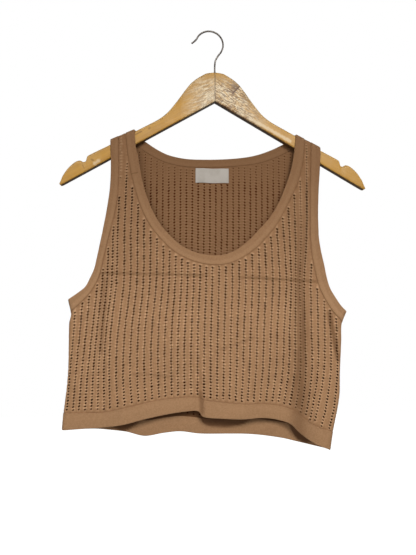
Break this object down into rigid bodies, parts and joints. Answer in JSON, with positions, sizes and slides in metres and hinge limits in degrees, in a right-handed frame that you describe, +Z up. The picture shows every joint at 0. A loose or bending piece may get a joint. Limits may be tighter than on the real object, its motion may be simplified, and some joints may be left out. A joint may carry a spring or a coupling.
{
  "type": "knitted tank top on a wooden hanger",
  "caption": "Open-knit sleeveless top with a deep scooped neck and plain knitted bands, hung on a notched wooden hanger with a wire hook.",
  "frame": {"origin": "underside of the hook's bend, where a rail or a peg carries the hanger", "axes": "+X to the right across the garment as seen from its front, +Y from the front to the back, +Z up"},
  "size_m": [0.4464, 0.0263, 0.6173],
  "materials": {
    "knit": "matte open knit",
    "band": "matte plain knit",
    "label": "woven, matte",
    "wood": "clear varnish, satin",
    "steel": "dark satin wire"
  },
  "bodies": {
    "root": {"front_panel": "knit", "back_panel": "knit", "neckband": "band", "armhole_band_left": "band", "armhole_band_right": "band", "hem_band_front": "band", "hem_band_back": "band", "label": "label", "hanger_arm_left": "wood", "hanger_arm_right": "wood", "hook": "steel"}
  },
  "joints": []
}
